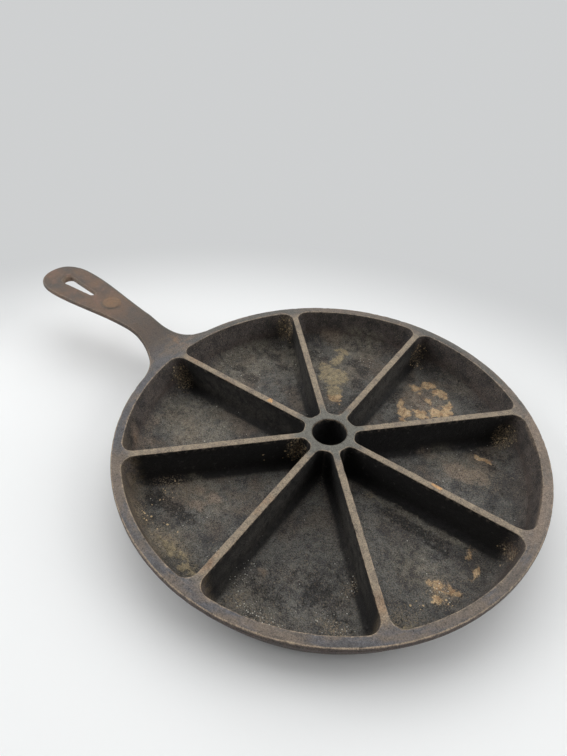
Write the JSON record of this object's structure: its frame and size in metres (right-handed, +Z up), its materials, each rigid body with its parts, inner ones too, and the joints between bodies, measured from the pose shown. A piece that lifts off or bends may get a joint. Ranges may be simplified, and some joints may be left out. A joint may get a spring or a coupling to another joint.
{
  "type": "cornbread skillet",
  "caption": "Cast-iron cornbread skillet: a shallow round pan with wedge pockets round a bored hub, and a flat handle with a hanging eye.",
  "frame": {"origin": "on the table under the middle of the whole skillet, handle included; the pan's own axis is at X = -57.25 mm", "axes": "+X along the handle towards its tip, +Y across the pan, +Z up, out of the open pockets"},
  "size_m": [0.3495, 0.235, 0.0419],
  "materials": {
    "floor_iron": "dark seasoned cast iron with rust patches",
    "wall_iron": "worn grey-brown cast iron",
    "hub_iron": "worn grey-brown cast iron",
    "divider_iron": "worn tan-brown cast iron",
    "handle_iron": "rusty brown cast iron"
  },
  "bodies": {
    "root": {"pan_floor": "floor_iron", "side_wall": "wall_iron", "center_hub": "hub_iron", "divider_1": "divider_iron", "divider_2": "divider_iron", "divider_3": "divider_iron", "divider_4": "divider_iron", "divider_5": "divider_iron", "divider_6": "divider_iron", "divider_7": "divider_iron", "divider_8": "divider_iron", "handle": "handle_iron"}
  },
  "joints": []
}
